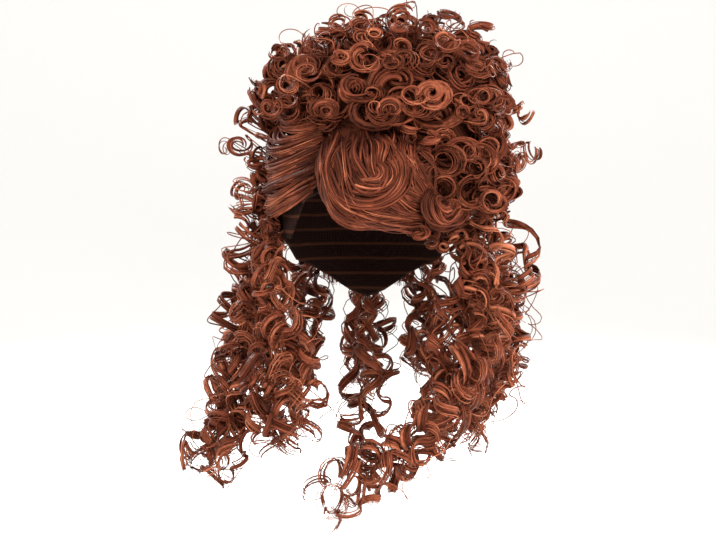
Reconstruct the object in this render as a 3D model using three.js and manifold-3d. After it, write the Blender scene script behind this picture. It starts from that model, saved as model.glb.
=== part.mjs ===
// An updo wig: a thin stretch cap that carries rows of pinned curls, a swept fringe and hanging ringlets.
// Millimetres, +Z up. The origin is the seat of the crown, the point inside the cap that rests on
// the top of the head. The wearer faces -Y, so +X is the wearer's left.
// Azimuths are degrees from the front towards the wearer's left, and depths are below the crown.
import * as THREE from "three";
import { mergeVertices } from "three/addons/utils/BufferGeometryUtils.js";
import Module from "manifold-3d";

const wasm = await Module();
wasm.setup();

// Head form that the cap fits: a rounded superellipsoid
const HEAD_HALF_WIDTH = 75;
const HEAD_HALF_LENGTH = 96;
const HEAD_HALF_HEIGHT = 88;
const HEAD_FULLNESS = 2.3; // 2 is an ellipsoid, more is fuller at the crown and temples

// Cap, sewn from a crown net and a band round the head
const CAP_WALL = 2;
const CAP_SECTORS = 24;
const CAP_ROWS = 7; // rows of facets from the crown to the edge
const CAP_CROWN_ROWS = 4; // of which this many are the crown net
const CAP_SEAM = 0.4;
// How far below the crown the edge of the cap lies, round one half of the head
const CAP_EDGE = [
  { azimuth: 0, depth: 50 }, // front hairline
  { azimuth: 38, depth: 64 },
  { azimuth: 64, depth: 106 }, // tab in front of the ear
  { azimuth: 94, depth: 94 }, // over the ear
  { azimuth: 126, depth: 126 },
  { azimuth: 180, depth: 156 }, // nape
];

// Clearance off the cap, which covers the dip of its facets, and between locks that lie side by side
const SEAT_GAP = 0.8;
const NEIGHBOUR_GAP = 0.5;
const SLIVER = 0.18; // slivers finer than this, which cuts leave behind, are merged into their neighbours

// Pads of teased hair under the pinned curls: their centres, half sizes across, along and up, and fullness,
// where 2 is an ellipsoid
const UPDO_PAD = {
  centre: new THREE.Vector3(19, 8, -10),
  radii: new THREE.Vector3(90, 76, 75),
  fullness: 2.7,
};
const TEMPLE_PAD = {
  centre: new THREE.Vector3(68, -22, -54),
  radii: new THREE.Vector3(46, 54, 32),
  fullness: 2,
};
const PAD_SECTORS = 16;

// A pinned curl: a lock wound flat, like a snail
const PINNED_CURL = {
  turns: 1.1,
  sides: 4,
  steps: 7,
  // Shares of the curl's radius
  wall: 0.25, // half the lock's thickness
  tall: 0.5, // half its height
  inner: 0.22, // the radius that it winds in to
  start: 0.12, // lift off the pad at the outside
  end: 0.5, // and at the middle
};

// Updo: layers of its pad between two elevations, each with a ring of pinned curls from the first azimuth on
const UPDO_ROWS = [
  { name: "updo_lower_curls", low: -14, high: 20, curls: 11, radius: 29, first: 0 },
  { name: "updo_middle_curls", low: 20, high: 47, curls: 9, radius: 27, first: 16 },
  { name: "updo_upper_curls", low: 47, high: 73, curls: 5, radius: 27, first: 0 },
  { name: "updo_topknot", low: 73, high: 90, curls: 1, radius: 26, first: 0 },
];

// Curls pinned to the pad over the wearer's left temple, where the hair is fullest
const LEFT_TEMPLE_CURLS = [
  { azimuth: 0, elevation: -16, radius: 25 },
  { azimuth: 32, elevation: 30, radius: 23 },
  { azimuth: 56, elevation: -18, radius: 27 },
  { azimuth: 96, elevation: 22, radius: 26 },
  { azimuth: 126, elevation: -18, radius: 25 },
];

// Combed sheets: half thickness on the ridge of a lock, the share of it left between locks, and
// rows of facets along the hair
const SHEET = { thick: 6, groove: 0.4, steps: 5 };

// Fringe: locks that start at the parting and sweep down and across the forehead
const FRINGE_ROOT_DEPTH = 18;
const FRINGE_BELLY_DEPTH = 52;
const FRINGE_LIFT = { root: 6, belly: 18, tip: 9 };
const FRINGE_LOCKS = [
  { root: -26, belly: -30, tip: -16, depth: 84 },
  { root: -22, belly: -22, tip: -6, depth: 94 },
  { root: -17, belly: -12, tip: 5, depth: 100 },
  { root: -10, belly: -1, tip: 17, depth: 101 },
  { root: -2, belly: 12, tip: 29, depth: 97 },
  { root: 8, belly: 26, tip: 40, depth: 90 },
  { root: 18, belly: 39, tip: 50, depth: 80 },
];

// Wearer's right temple: locks combed back from the parting to above the ear
const TEMPLE_SWEEP = { first: -30, last: -111, lift: 6 };
const TEMPLE_LOCKS = [
  { start: 20, end: 38 },
  { start: 32, end: 51 },
  { start: 43, end: 64 },
  { start: 53, end: 76 },
  { start: 62, end: 88 },
];

// Back of the head: locks combed up from the cap's edge to the updo
const BACK_HAIR = { first: 113, last: 247, locks: 6, top: 34, overEdge: 8, lift: 6 };

// Ringlets: each hangs from the cap by way of a knee to its tip, as a lock wound round its own path
const RINGLET = { orbit: 9, lock: 13.5, pitch: 57, perTurn: 5, sides: 4, tipShare: 0.45, bow: 12 };
const RIGHT_RINGLETS = [
  { azimuth: -66, depth: 96, knee: [-72, -66, -170], tip: [-54, -84, -268] },
  { azimuth: -82, depth: 90, knee: [-93, -36, -176], tip: [-80, -82, -280] },
  { azimuth: -97, depth: 88, knee: [-100, 2, -180], tip: [-130, -52, -310] },
  { azimuth: -112, depth: 98, knee: [-98, 40, -186], tip: [-150, -14, -300] },
];
const LEFT_RINGLETS = [
  { azimuth: 61, depth: 100, knee: [74, -58, -176], tip: [58, -76, -262] },
  { azimuth: 72, depth: 96, knee: [96, -94, -202], tip: [-36, -116, -328] },
  { azimuth: 86, depth: 88, knee: [106, -36, -178], tip: [82, -60, -278] },
  { azimuth: 99, depth: 86, knee: [122, 4, -158], tip: [102, -22, -252] },
  { azimuth: 113, depth: 98, knee: [100, 42, -182], tip: [94, 36, -282] },
];
const NAPE_RINGLETS = [
  { azimuth: -148, depth: 124, knee: [-60, 82, -206], tip: [-68, 80, -298] },
  { azimuth: 180, depth: 138, knee: [0, 92, -212], tip: [-4, 92, -308] },
  { azimuth: 148, depth: 124, knee: [60, 82, -206], tip: [66, 80, -300] },
];
const BACK_RINGLETS = [
  { azimuth: -126, depth: 62, knee: [-97, 80, -136], tip: [-118, 72, -228] },
  { azimuth: -152, depth: 62, knee: [-54, 114, -138], tip: [-58, 122, -240] },
  { azimuth: 180, depth: 62, knee: [0, 124, -140], tip: [-2, 134, -248] },
  { azimuth: 152, depth: 62, knee: [54, 114, -138], tip: [56, 122, -240] },
  { azimuth: 126, depth: 62, knee: [97, 80, -136], tip: [114, 72, -228] },
];

// Finishes
const CAP_NET = new THREE.MeshStandardMaterial({ color: 0x2b1712, roughness: 0.9, metalness: 0 });
const AUBURN_HAIR = new THREE.MeshStandardMaterial({ color: 0x6e3422, roughness: 0.45, metalness: 0 });

const { degToRad, radToDeg, lerp, smoothstep, euclideanModulo } = THREE.MathUtils;
const signedPower = (x, power) => Math.sign(x) * Math.abs(x) ** power;

// A point over the head form, lifted off it
function headPoint(azimuth, depth, lift) {
  const level = 1 - depth / HEAD_HALF_HEIGHT;
  const reach = (1 - Math.min(Math.abs(level), 1) ** HEAD_FULLNESS) ** (1 / HEAD_FULLNESS);
  return new THREE.Vector3(
    (HEAD_HALF_WIDTH + lift) * reach * Math.sin(degToRad(azimuth)),
    -(HEAD_HALF_LENGTH + lift) * reach * Math.cos(degToRad(azimuth)),
    (HEAD_HALF_HEIGHT + lift) * level - HEAD_HALF_HEIGHT,
  );
}

// The direction that points straight off the head form at a place near it
function offHead(point) {
  return new THREE.Vector3(
    point.x / HEAD_HALF_WIDTH ** 2,
    point.y / HEAD_HALF_LENGTH ** 2,
    (point.z + HEAD_HALF_HEIGHT) / HEAD_HALF_HEIGHT ** 2,
  ).normalize();
}

// The depth of the cap's edge at an azimuth, eased from row to row of the table
function capEdge(azimuth) {
  const turn = Math.abs(euclideanModulo(azimuth + 180, 360) - 180);
  const next = Math.max(1, CAP_EDGE.findIndex((row) => row.azimuth >= turn));
  const [from, to] = [CAP_EDGE[next - 1], CAP_EDGE[next]];
  return lerp(from.depth, to.depth, smoothstep(turn, from.azimuth, to.azimuth));
}

// A closed solid from a three.js geometry, whose welded vertices move to the places that a function gives
function formSolid(geometry, place) {
  const bare = geometry.clone();
  bare.deleteAttribute("normal");
  bare.deleteAttribute("uv");
  const welded = mergeVertices(bare, 1e-3);
  const position = welded.attributes.position;
  const vertex = new THREE.Vector3();
  for (let i = 0; i < position.count; i++) {
    vertex.fromBufferAttribute(position, i);
    position.setXYZ(i, ...place(vertex).toArray());
  }
  return new wasm.Manifold(
    new wasm.Mesh({
      numProp: 3,
      vertProperties: position.array,
      triVerts: new Uint32Array(welded.index.array),
    }),
  );
}

// A named mesh from a solid, keeping its largest body and dropping crumbs and slivers that a cut left behind
function meshOf(name, solid, material) {
  const body = solid
    .decompose()
    .reduce((a, b) => (a.volume() > b.volume() ? a : b))
    .simplify(SLIVER);
  const { vertProperties, triVerts } = body.getMesh();
  const geometry = new THREE.BufferGeometry();
  geometry.setAttribute("position", new THREE.BufferAttribute(vertProperties, 3));
  geometry.setIndex(new THREE.BufferAttribute(triVerts, 1));
  geometry.computeVertexNormals();
  const mesh = new THREE.Mesh(geometry, material);
  mesh.name = name;
  return mesh;
}

// A lock of hair: a cylinder bent along frames, each with a centre, two directions across it and half sizes
function lockSolid(frameAt, sides, steps) {
  const cylinder = new THREE.CylinderGeometry(1, 1, 1, sides, steps);
  return formSolid(cylinder, (unit) => {
    const { centre, across, up, wide, tall } = frameAt(0.5 - unit.y);
    return centre.clone().addScaledVector(across, unit.x * wide).addScaledVector(up, unit.z * tall);
  });
}

// A combed sheet: a box laid through the paths of its locks, thick along each lock and grooved between
function sheetSolid(paths, fat) {
  const spans = paths.length - 1;
  const box = new THREE.BoxGeometry(1, 1, 1, 2 * spans, SHEET.steps, 1);
  return formSolid(box, (unit) => {
    const place = (unit.x + 0.5) * spans;
    const lock = Math.min(Math.floor(place), spans - 1);
    const along = 0.5 - unit.y;
    const [from, to] = [paths[lock].getPoint(along), paths[lock + 1].getPoint(along)];
    const point = from.clone().lerp(to, place - lock);
    const ridge = lerp(SHEET.groove, 1, Math.abs(Math.cos(Math.PI * (place - lock))));
    const off = offHead(point).multiplyScalar(Math.sign(unit.z) * (SHEET.thick * ridge + fat));
    const widen = to.sub(from).setLength(2 * unit.x * fat);
    const lengthen = paths[lock].getTangent(along).multiplyScalar(-2 * unit.y * fat);
    return point.add(off).add(widen).add(lengthen);
  });
}

// The head form grown by a lift, as one solid, which clears the space for the head and the cap
function headSolid(lift) {
  const sphere = new THREE.SphereGeometry(1, CAP_SECTORS, 2 * CAP_ROWS);
  return formSolid(sphere, (unit) => {
    const level = signedPower(unit.y, 2 / HEAD_FULLNESS);
    const azimuth = radToDeg(Math.atan2(unit.x, unit.z));
    return headPoint(azimuth, HEAD_HALF_HEIGHT * (1 - level), lift);
  });
}

// A piece of the cap from one row of facets to another: a bowl or ring turned as a lathe profile of its two
// walls, then fitted to the head form and the cap's edge. A ring starts a seam's width past its first row.
function capSolid(firstRow, lastRow) {
  const seam = firstRow ? CAP_SEAM / (HEAD_HALF_HEIGHT * Math.PI * 0.5) : 0;
  const inner = Array.from({ length: lastRow - firstRow + 1 }, (_, row) => {
    return new THREE.Vector2((firstRow + row) / CAP_ROWS + (row ? 0 : seam), 0);
  });
  const outer = inner.map((point) => new THREE.Vector2(point.x, 1)).reverse();
  const profile = [...inner, ...outer];
  if (firstRow) profile.push(inner[0]);
  const bowl = new THREE.LatheGeometry(profile, CAP_SECTORS);
  return formSolid(bowl, (unit) => {
    const azimuth = radToDeg(Math.atan2(unit.x, unit.z));
    const edgeLevel = 1 - capEdge(azimuth) / HEAD_HALF_HEIGHT;
    const edgePolar = Math.acos(signedPower(edgeLevel, HEAD_FULLNESS / 2));
    const polar = edgePolar * Math.hypot(unit.x, unit.z);
    const level = signedPower(Math.cos(polar), 2 / HEAD_FULLNESS);
    return headPoint(azimuth, HEAD_HALF_HEIGHT * (1 - level), CAP_WALL * unit.y);
  });
}

// A place on a pad of size 1, as how far out and how far up it is at an elevation
function padProfile({ fullness }, elevation) {
  const angle = degToRad(elevation);
  const power = 2 / fullness;
  return new THREE.Vector2(signedPower(Math.cos(angle), power), signedPower(Math.sin(angle), power));
}

// A point over a pad, lifted off it
function padPoint(pad, azimuth, elevation, lift) {
  const { x: out, y: up } = padProfile(pad, elevation);
  const angle = degToRad(azimuth);
  return new THREE.Vector3(out * Math.sin(angle), -out * Math.cos(angle), up)
    .multiply(pad.radii.clone().addScalar(lift))
    .add(pad.centre);
}

// A geometry turned about +Y, of size 1, stood on +Z and stretched to a pad
function padSolid({ centre, radii }, geometry, fat) {
  const grown = radii.clone().addScalar(fat);
  return formSolid(geometry, ({ x, y, z }) => new THREE.Vector3(x, -z, y).multiply(grown).add(centre));
}

// A pinned curl: a lock that lies on a pad and winds inwards, rising, about an axis pointing off it
function pinnedCurl(pad, { azimuth, elevation, radius }, fat) {
  const seat = padPoint(pad, azimuth, elevation, 0);
  const axis = padPoint(pad, azimuth, elevation, radius).sub(seat).normalize();
  const side = new THREE.Vector3(0, 0, 1).cross(axis).normalize();
  const top = axis.clone().cross(side);
  const { turns, sides, steps, wall, tall, inner, start, end } = PINNED_CURL;
  const frameAt = (share) => {
    const turn = 2 * Math.PI * turns * share;
    const outward = top.clone().multiplyScalar(-Math.cos(turn)).addScaledVector(side, -Math.sin(turn));
    const centre = seat.clone().addScaledVector(axis, radius * lerp(start, end, share));
    centre.addScaledVector(outward, radius * lerp(1 - wall, inner, share));
    return { centre, across: outward, up: axis, wide: radius * wall + fat, tall: radius * tall + fat };
  };
  return lockSolid(frameAt, sides, steps);
}

// One row of the updo: a flat layer of teased hair between two elevations, with its pinned curls fused to it
function updoRow({ low, high, curls, radius, first }, fat) {
  const middle = (low + high) / 2;
  const rise = new THREE.Vector2(0, fat / UPDO_PAD.radii.z);
  const rim = [
    padProfile(UPDO_PAD, low).sub(rise),
    padProfile(UPDO_PAD, middle),
    padProfile(UPDO_PAD, high).add(rise),
  ];
  const profile = [new THREE.Vector2(0, rim[0].y), ...rim];
  // The top row's rim ends on the axis, and the others have a flat top
  if (high < 90) profile.push(new THREE.Vector2(0, rim[2].y));
  let row = padSolid(UPDO_PAD, new THREE.LatheGeometry(profile, PAD_SECTORS), fat);
  for (let i = 0; i < curls; i++) {
    const seat = { azimuth: first + (360 * i) / curls, elevation: middle, radius };
    row = row.add(pinnedCurl(UPDO_PAD, seat, fat));
  }
  return row;
}

// The wearer's left temple: a pad of teased hair with pinned curls fused over it
function leftTempleCurls(fat) {
  const pad = padSolid(TEMPLE_PAD, new THREE.SphereGeometry(1, PAD_SECTORS, PAD_SECTORS / 2), fat);
  return LEFT_TEMPLE_CURLS.reduce((solid, row) => solid.add(pinnedCurl(TEMPLE_PAD, row, fat)), pad);
}

const headPath = (rows) =>
  new THREE.CatmullRomCurve3(rows.map(({ azimuth, depth, lift }) => headPoint(azimuth, depth, lift)));

// The fringe: each lock drops from the parting, bellies over the forehead and turns in at its tip
function fringe(fat) {
  const paths = FRINGE_LOCKS.map(({ root, belly, tip, depth }) => {
    const turnIn = { azimuth: lerp(belly, tip, 0.5), depth: lerp(FRINGE_BELLY_DEPTH, depth, 0.7) };
    return headPath([
      { azimuth: root, depth: FRINGE_ROOT_DEPTH, lift: FRINGE_LIFT.root },
      { azimuth: belly, depth: FRINGE_BELLY_DEPTH, lift: FRINGE_LIFT.belly },
      { ...turnIn, lift: FRINGE_LIFT.belly },
      { azimuth: tip, depth, lift: FRINGE_LIFT.tip },
    ]);
  });
  return sheetSolid(paths, fat);
}

// Temple hair: each lock runs round the head from the parting to above the ear
function templeSweep(fat) {
  const { first, last, lift } = TEMPLE_SWEEP;
  const paths = TEMPLE_LOCKS.map(({ start, end }) =>
    headPath([
      { azimuth: first, depth: start, lift },
      { azimuth: lerp(first, last, 0.5), depth: lerp(start, end, 0.6), lift },
      { azimuth: last, depth: end, lift },
    ]),
  );
  return sheetSolid(paths, fat);
}

// Back hair: locks side by side round the back of the head, from the updo to just short of the cap's edge
function backHair(fat) {
  const { first, last, locks, top, overEdge, lift } = BACK_HAIR;
  const paths = Array.from({ length: locks }, (_, i) => {
    const azimuth = lerp(first, last, i / (locks - 1));
    const bottom = capEdge(azimuth) - overEdge;
    return headPath([0, 0.5, 1].map((share) => ({ azimuth, depth: lerp(top, bottom, share), lift })));
  });
  return sheetSolid(paths, fat);
}

// A ringlet: a lock that orbits the path from its seat on the cap, over a bow and a knee, to its tip
function ringlet({ azimuth, depth, knee, tip }, fat) {
  const root = headPoint(azimuth, depth, 0);
  const off = offHead(root).setZ(0).setLength(RINGLET.bow);
  const bow = root.clone().add(off).setZ(root.z - RINGLET.bow);
  const path = new THREE.CatmullRomCurve3([root, bow, new THREE.Vector3(...knee), new THREE.Vector3(...tip)]);
  const turns = path.getLength() / RINGLET.pitch;
  const frameAt = (share) => {
    const tangent = path.getTangentAt(share);
    const across = new THREE.Vector3(0, 1, 0).cross(tangent).normalize();
    const up = tangent.clone().cross(across);
    const turn = 2 * Math.PI * turns * share;
    const orbit = RINGLET.orbit * smoothstep(share, 0, 0.12);
    const centre = path.getPointAt(share);
    centre.addScaledVector(across, orbit * Math.cos(turn)).addScaledVector(up, orbit * Math.sin(turn));
    const radius = RINGLET.lock * lerp(1, RINGLET.tipShare, smoothstep(share, 0.65, 1)) + fat;
    return { centre, across, up, wide: radius, tall: radius };
  };
  return lockSolid(frameAt, RINGLET.sides, Math.ceil(turns * RINGLET.perTurn));
}

// Every hair piece in the order in which it is laid: each keeps clear of those before it
const ringletRow = (prefix, rows) =>
  rows.map((row, i) => ({ name: `${prefix}_${i + 1}`, build: (fat) => ringlet(row, fat) }));
const HAIR_PIECES = [
  ...UPDO_ROWS.map((row) => ({ name: row.name, build: (fat) => updoRow(row, fat) })),
  { name: "fringe", build: fringe },
  { name: "right_temple_sweep", build: templeSweep },
  { name: "left_temple_curls", build: leftTempleCurls },
  { name: "back_hair", build: backHair },
  ...ringletRow("right_ringlet", RIGHT_RINGLETS),
  ...ringletRow("left_ringlet", LEFT_RINGLETS),
  ...ringletRow("nape_ringlet", NAPE_RINGLETS),
  ...ringletRow("back_ringlet", BACK_RINGLETS),
];

function wig() {
  const group = new THREE.Group();
  group.add(meshOf("wig_cap_crown", capSolid(0, CAP_CROWN_ROWS), CAP_NET));
  group.add(meshOf("wig_cap_band", capSolid(CAP_CROWN_ROWS, CAP_ROWS), CAP_NET));
  const laid = [headSolid(CAP_WALL + SEAT_GAP)];
  for (const { name, build } of HAIR_PIECES) {
    const clear = laid.reduce((solid, neighbour) => solid.subtract(neighbour), build(0));
    group.add(meshOf(name, clear, AUBURN_HAIR));
    laid.push(build(NEIGHBOUR_GAP));
  }
  return group;
}

export default wig();
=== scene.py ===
import logging
import math
from dataclasses import dataclass, field
from enum import Enum

import bmesh
import bpy
import numpy as np
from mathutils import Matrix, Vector


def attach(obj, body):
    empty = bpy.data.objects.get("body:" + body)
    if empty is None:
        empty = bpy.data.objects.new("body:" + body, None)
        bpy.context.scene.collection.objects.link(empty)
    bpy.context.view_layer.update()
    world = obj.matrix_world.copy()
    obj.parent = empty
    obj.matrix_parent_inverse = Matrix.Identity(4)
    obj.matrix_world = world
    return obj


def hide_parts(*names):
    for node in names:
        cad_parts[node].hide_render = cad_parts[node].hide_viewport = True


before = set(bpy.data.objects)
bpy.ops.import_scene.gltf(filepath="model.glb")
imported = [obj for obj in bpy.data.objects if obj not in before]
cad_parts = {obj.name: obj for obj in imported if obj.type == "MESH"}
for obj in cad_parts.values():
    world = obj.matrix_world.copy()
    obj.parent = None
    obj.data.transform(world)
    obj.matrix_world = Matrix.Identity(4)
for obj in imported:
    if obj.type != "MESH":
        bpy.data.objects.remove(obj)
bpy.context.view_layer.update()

# +X is the wig's left, -Y its front and +Z up, with the crown's seat at the origin. An azimuth is
# in degrees from the front towards +X, and a depth in millimetres below the crown.
LOG = logging.getLogger("updo_wig")
BODY = "root"
HAIR_SLOT = "auburn_hair"
MM = 0.001  # sizes in this script are millimetres, and meshes are metres
TURN = 2 * math.pi
TINY = 1e-9  # keeps a division clear of zero
IMAGE_WIDTH = 716  # pixels
MM_PER_PIXEL = 0.83  # at the face opening
SENSOR_MM = 36.0
SEED = 11
OFF_CAP = 3.5  # hair keeps this far off the cap's form, so outside its wall
PIN_DEPTH = -4.0  # a curl is pinned this far off its pad, so a little inside it
GOLDEN = 0.618  # steps of this share of a span spread places evenly over it
SPAN_STEPS = 40  # points worked out between two points of a smooth path

Span = tuple[float, float]
Point = tuple[float, float, float]


class Winding(Enum):
    """The way a curl turns about its axis."""

    LEFT = 1
    RIGHT = -1


class Depth(Enum):
    """How far inside the hair a surface lies, which sets how dark it is painted: the core under the
    strands is painted dark as shade.
    """

    CORE = "core"
    STRAND = "strand"


def linear(code: int) -> tuple[float, float, float, float]:
    """Turns an sRGB hex colour to linear.

    Args:
        code: The colour as 0xRRGGBB.

    Returns:
        Linear red, green and blue, and an alpha of 1.
    """
    shares = [((code >> shift) & 0xFF) / 255 for shift in (16, 8, 0)]
    red, green, blue = (
        s / 12.92 if s <= 0.04045 else ((s + 0.055) / 1.055) ** 2.4 for s in shares
    )
    return red, green, blue, 1.0


def feed(tree: bpy.types.NodeTree, node: bpy.types.Node, inputs: dict) -> None:
    """Sets a node's inputs, or links them where a value is another node's output.

    Args:
        tree: The material's node tree.
        node: The node to feed.
        inputs: Values or output sockets by input name or number.
    """
    for name, value in inputs.items():
        if isinstance(value, bpy.types.NodeSocket):
            tree.links.new(value, node.inputs[name])
        else:
            node.inputs[name].default_value = value


def add_node(
    tree: bpy.types.NodeTree, kind: str, inputs: dict | None = None, **settings
) -> bpy.types.Node:
    """Adds a node with its settings, values and links.

    Args:
        tree: The material's node tree.
        kind: The node's type name.
        inputs: Values or output sockets by input name or number.
        **settings: Properties set on the node itself.

    Returns:
        The new node.
    """
    node = tree.nodes.new(kind)
    for name, value in settings.items():
        setattr(node, name, value)
    feed(tree, node, inputs or {})
    return node


def new_material(
    name: str,
) -> tuple[bpy.types.Material, bpy.types.NodeTree, bpy.types.Node, bpy.types.NodeSocket]:
    """Starts a material.

    Args:
        name: The material's name.

    Returns:
        The material, its node tree, its shader and the piece's Object coordinates.
    """
    material = bpy.data.materials.new(name)
    material.use_nodes = True
    tree = material.node_tree
    place = add_node(tree, "ShaderNodeTexCoord").outputs["Object"]
    return material, tree, tree.nodes["Principled BSDF"], place


def band_scale(spacing: float) -> float:
    """Gives a Wave Texture's scale for bands that lie so many millimetres apart."""
    return math.pi / (10 * spacing * MM)


def unit(vectors: np.ndarray) -> np.ndarray:
    """Scales vectors in the last axis to length 1."""
    return vectors / np.maximum(np.linalg.norm(vectors, axis=-1, keepdims=True), TINY)


def ease(share: np.ndarray, low: float, high: float) -> np.ndarray:
    """Goes smoothly from 0 at low to 1 at high."""
    t = np.clip((share - low) / (high - low), 0, 1)
    return t * t * (3 - 2 * t)


def wave(rng: np.random.Generator, share: np.ndarray, slow: float, fast: float) -> np.ndarray:
    """Gives a sine along a lock with a random start and a random number of waves."""
    return np.sin(TURN * rng.uniform(slow, fast) * share + rng.uniform(0, TURN))


def along(at: np.ndarray, places: np.ndarray, rows: np.ndarray) -> np.ndarray:
    """Reads points off a line whose points, as rows, lie at rising places."""
    return np.stack([np.interp(at, places, rows[:, axis]) for axis in range(3)], axis=1)


def blend(t: np.ndarray, knots: Span, first: np.ndarray, last: np.ndarray) -> np.ndarray:
    """Mixes two points by where t lies between two knots."""
    low, high = knots
    return ((high - t) * first + (t - low) * last) / (high - low)


def smooth_path(points: np.ndarray, count: int) -> np.ndarray:
    """Draws a centripetal Catmull-Rom curve, even in length, through points.

    Args:
        points: The points to pass through, as rows.
        count: How many points to return.

    Returns:
        The curve's points, as rows.
    """
    ends = np.vstack([2 * points[0] - points[1], points, 2 * points[-1] - points[-2]])
    gaps = np.sqrt(np.linalg.norm(np.diff(ends, axis=0), axis=1))
    knots = np.concatenate([[0], np.cumsum(gaps)])
    fine = []
    for i in range(1, len(ends) - 2):
        last = i == len(ends) - 3
        t = np.linspace(knots[i], knots[i + 1], SPAN_STEPS, endpoint=last)[:, None]
        near = [
            blend(t, (knots[j], knots[j + 1]), ends[j], ends[j + 1]) for j in range(i - 1, i + 2)
        ]
        wide = [
            blend(t, (knots[j], knots[j + 2]), near[k], near[k + 1])
            for k, j in enumerate((i - 1, i))
        ]
        fine.append(blend(t, (knots[i], knots[i + 1]), *wide))
    curve = np.vstack(fine)
    run = np.concatenate([[0], np.cumsum(np.linalg.norm(np.diff(curve, axis=0), axis=1))])
    return along(np.linspace(0, run[-1], count), run, curve)


@dataclass(frozen=True)
class AuburnFibre:
    """Modacrylic wig fibre, heat-set and dyed auburn: glossy, with painted shade at the roots and
    light strands.
    """

    shade: int = 0x3E1D14
    body: int = 0x6C3423
    light: int = 0xB0684A
    # core and inside: painted shade for the hair deep under the strands, drawn dark instead of lit
    core: int = 0x402016
    inside_shade: int = 0x6A3422
    gloss: int = 0xEAAE8C
    roughness: float = 0.42
    specular: float = 0.15
    core_roughness: float = 0.8
    core_specular: float = 0.1
    streak_mm: float = 0.9  # a few fibres together, since one fibre is too fine to show
    run_mm: float = 26.0  # how far a streak runs along the hair
    patch_mm: float = 14.0
    band_mm: float = 2.6  # strands of the teased hair, drawn together
    root_shade_mm: Span = (-6.0, 28.0)  # where the painted shade at the root would be deepest, and where it ends
    detail: float = 3.0
    tangle: float = 7.0  # how strongly the teased strands are distorted
    usual: Span = (0.3, 0.7)  # most values of a noise lie in this span
    # How far streaks, patches and the painted shade at the root make a strand lighter or darker,
    # and all of them darker
    streak_shift: float = 0.3
    patch_shift: float = 0.2
    root_shade_shift: float = 0.3
    drop: float = 0.3
    relief: float = 0.7
    relief_mm: float = 0.4

    def material(self, depth: Depth) -> bpy.types.Material:
        """Makes the fibre's material.

        Args:
            depth: Whether it is for strands or for the dark hair under them.

        Returns:
            The material.
        """
        name = f"modacrylic_fibre_auburn_{depth.value}"
        material, tree, shader, place = new_material(name)
        spots = {"Vector": place, "Scale": 1 / (self.patch_mm * MM), "Detail": self.detail}
        patch = add_node(tree, "ShaderNodeTexNoise", spots).outputs["Fac"]
        if depth is Depth.CORE:
            height, level = self.teased(tree, place, patch)
            first, last = self.core, self.inside_shade
            roughness, specular = self.core_roughness, self.core_specular
        else:
            height, level = self.combed(tree, patch)
            first, last = self.shade, self.light
            roughness, specular = self.roughness, self.specular
        ramp = add_node(tree, "ShaderNodeValToRGB", {"Fac": level})
        stops = ramp.color_ramp.elements
        if depth is Depth.STRAND:
            stops.new(0.5).color = linear(self.body)
        stops[0].color, stops[-1].color = linear(first), linear(last)
        relief = {"Height": height, "Strength": self.relief, "Distance": self.relief_mm * MM}
        bump = add_node(tree, "ShaderNodeBump", relief)
        surface = {
            "Base Color": ramp.outputs["Color"],
            "Normal": bump.outputs["Normal"],
            "Roughness": roughness,
            "Specular IOR Level": specular,
            "Specular Tint": linear(self.gloss),
        }
        feed(tree, shader, surface)
        return material

    def teased(
        self, tree: bpy.types.NodeTree, place: bpy.types.NodeSocket, patch: bpy.types.NodeSocket
    ) -> tuple[bpy.types.NodeSocket, bpy.types.NodeSocket]:
        """Draws tangled bands of strands for the hair inside a bunch.

        Args:
            tree: The material's node tree.
            place: Object coordinates.
            patch: The noise that makes whole patches lighter or darker.

        Returns:
            The bands' height, and how light the hair is.
        """
        scale = band_scale(self.band_mm)
        bands = {"Vector": place, "Scale": scale, "Distortion": self.tangle, "Detail": self.detail}
        node = add_node(tree, "ShaderNodeTexWave", bands, bands_direction="DIAGONAL")
        height = node.outputs["Fac"]
        level = add_node(tree, "ShaderNodeMath", {0: height, 1: patch}, operation="MULTIPLY")
        return height, level.outputs[0]

    def combed(
        self, tree: bpy.types.NodeTree, patch: bpy.types.NodeSocket
    ) -> tuple[bpy.types.NodeSocket, bpy.types.NodeSocket]:
        """Draws streaks along strands, with each strand's own tone and painted shade at its root.

        Args:
            tree: The material's node tree.
            patch: The noise that makes whole patches lighter or darker.

        Returns:
            The streaks' height, and how light the hair is.
        """
        fibre = add_node(tree, "ShaderNodeAttribute", attribute_name="fibre").outputs["Vector"]
        comb = {"Vector": fibre, "Scale": (1 / self.streak_mm, 1 / self.run_mm, 1.0)}
        drawn = add_node(tree, "ShaderNodeMapping", comb).outputs["Vector"]
        streaks = {"Vector": drawn, "Scale": 1.0, "Detail": self.detail}
        height = add_node(tree, "ShaderNodeTexNoise", streaks).outputs["Fac"]
        from_root = add_node(tree, "ShaderNodeAttribute", attribute_name="from_root").outputs["Fac"]
        level = add_node(tree, "ShaderNodeAttribute", attribute_name="tone").outputs["Fac"]
        shifts = (
            (height, self.usual, self.streak_shift),
            (patch, self.usual, self.patch_shift),
            # the root is darkened as painted shade near the cap
            (from_root, self.root_shade_mm, self.root_shade_shift),
        )
        for value, (low, high), reach in shifts:
            span = {"Value": value, "From Min": low, "From Max": high}
            span |= {"To Min": -reach, "To Max": reach}
            part = add_node(tree, "ShaderNodeMapRange", span).outputs["Result"]
            both = {0: level, 1: part}
            level = add_node(tree, "ShaderNodeMath", both, operation="ADD").outputs[0]
        level = add_node(tree, "ShaderNodeMath", {0: level, 1: -self.drop}, operation="ADD")
        return height, level.outputs[0]


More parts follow.
